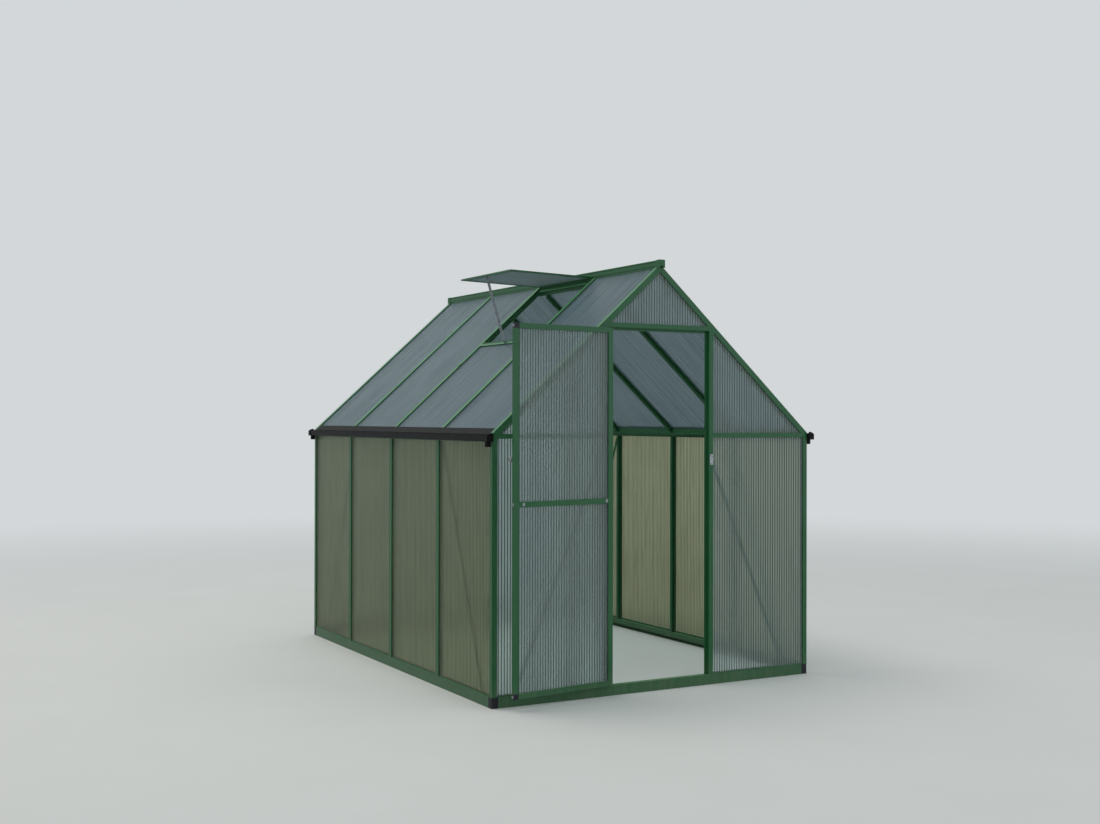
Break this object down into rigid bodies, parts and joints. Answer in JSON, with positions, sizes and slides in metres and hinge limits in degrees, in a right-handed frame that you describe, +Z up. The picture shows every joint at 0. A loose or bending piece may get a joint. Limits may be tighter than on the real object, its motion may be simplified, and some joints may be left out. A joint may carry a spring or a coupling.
{
  "type": "polycarbonate greenhouse with hinged door",
  "caption": "Gabled hobby greenhouse of green aluminium sections and twin-wall polycarbonate sheets, with a hinged door standing open, a raised roof vent and black gutters.",
  "frame": {"origin": "on the ground, in the middle of the front base rail's foot, 8 mm behind the front gable's face", "axes": "+X to the right seen from the front gable, +Y from the front gable to the back one along the ridge, +Z up"},
  "size_m": [1.9226, 2.5734, 2.1227],
  "materials": {
    "frame_green": "dark green powder coat",
    "sheet": "clear twin-wall polycarbonate with upright flutes",
    "gutter": "charcoal, satin",
    "black_plastic": "black, matt",
    "galvanised": "galvanised",
    "grey_plastic": "grey, matt"
  },
  "bodies": {
    "building": {"base_front": "frame_green", "base_back": "frame_green", "base_left": "frame_green", "base_right": "frame_green", "base_corners": "black_plastic", "corner_post_front_left": "frame_green", "corner_post_front_right": "frame_green", "corner_post_back_left": "frame_green", "corner_post_back_right": "frame_green", "studs_left": "frame_green", "studs_right": "frame_green", "studs_back": "frame_green", "eave_rail_left": "frame_green", "eave_rail_right": "frame_green", "gutter_left": "gutter", "gutter_right": "gutter", "gutter_ends": "gutter", "gutter_spouts": "gutter", "ridge": "frame_green", "ridge_end_caps": "frame_green", "rafters": "frame_green", "roof_bars_left": "frame_green", "roof_bars_right": "frame_green", "tie_bars_front": "frame_green", "tie_bars_back": "frame_green", "door_head": "frame_green", "door_jambs": "frame_green", "latch_plate": "galvanised", "wall_sheets_left": "sheet", "wall_sheets_right": "sheet", "roof_sheets_left": "sheet", "roof_sheets_right": "sheet", "gable_sheets_front": "sheet", "gable_sheets_back": "sheet", "vent_sill": "frame_green", "vent_frame": "frame_green", "vent_sheet": "sheet", "vent_stay": "galvanised", "side_braces": "frame_green", "gable_braces": "frame_green"},
    "door": {"door_stiles": "frame_green", "door_rails": "frame_green", "door_sheets": "sheet", "door_corner_blocks": "black_plastic", "door_knob": "grey_plastic"}
  },
  "joints": [
    {"name": "door_hinge", "type": "hinge", "parent": "building", "child": "door", "pos_m": [-0.292, -0.014, 0.9], "axis": [0, 0, 1], "range_deg": [0, 172.1]}
  ]
}
